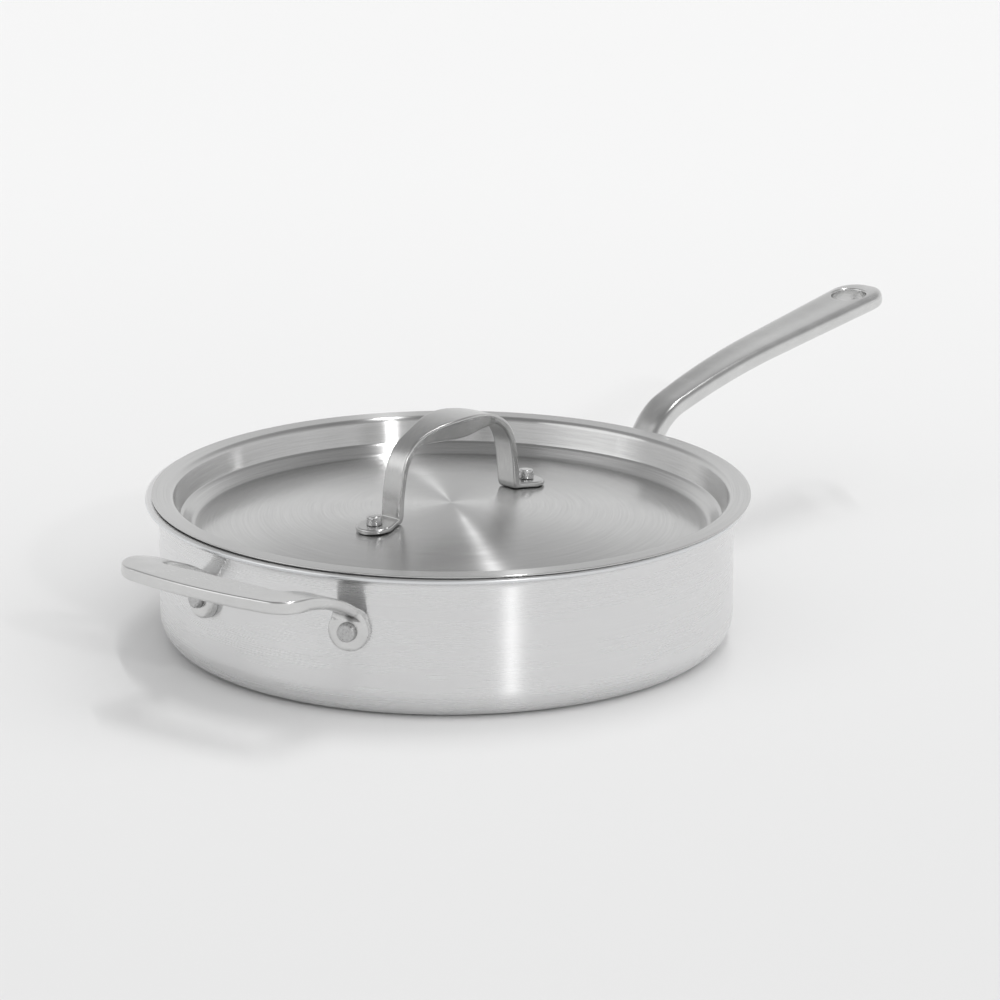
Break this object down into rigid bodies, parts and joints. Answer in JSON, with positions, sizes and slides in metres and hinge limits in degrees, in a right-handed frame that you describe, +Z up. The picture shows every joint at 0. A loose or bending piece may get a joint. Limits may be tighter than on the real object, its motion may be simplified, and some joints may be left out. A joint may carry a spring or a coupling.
{
  "type": "saute pan with lid",
  "caption": "Straight-sided clad steel saute pan with a long riveted handle, a riveted helper handle and a lift-off lid with a bridge handle.",
  "frame": {"origin": "centre of the pan's base, on the surface that it stands on", "axes": "+X along the long handle, +Z up through the lid's handle, helper handle along -X"},
  "size_m": [0.5371, 0.2903, 0.1101],
  "materials": {
    "brushed_wall": "magnetic stainless steel, finely brushed round the pan",
    "core_aluminium": "rolled aluminium, seen only at the lip's ground edge",
    "cooking_surface": "18/10 stainless steel, brushed in fine circles",
    "cast_handle": "cast stainless steel, satin polished with softly rounded edges",
    "rivet_steel": "stainless steel rivets with polished formed heads",
    "lid_sheet": "pressed stainless steel sheet, brushed in circles round the centre"
  },
  "bodies": {
    "pan": {"outer_ply": "brushed_wall", "core_ply": "core_aluminium", "inner_ply": "cooking_surface", "long_handle": "cast_handle", "long_handle_rivets": "rivet_steel", "helper_handle": "cast_handle", "helper_handle_rivets": "rivet_steel"},
    "lid": {"lid": "lid_sheet", "lid_handle": "cast_handle", "lid_rivets": "rivet_steel"}
  },
  "joints": [
    {"name": "lid_lift", "type": "slide", "parent": "pan", "child": "lid", "axis": [0, 0, 1], "range_m": [0, 0.12]}
  ]
}
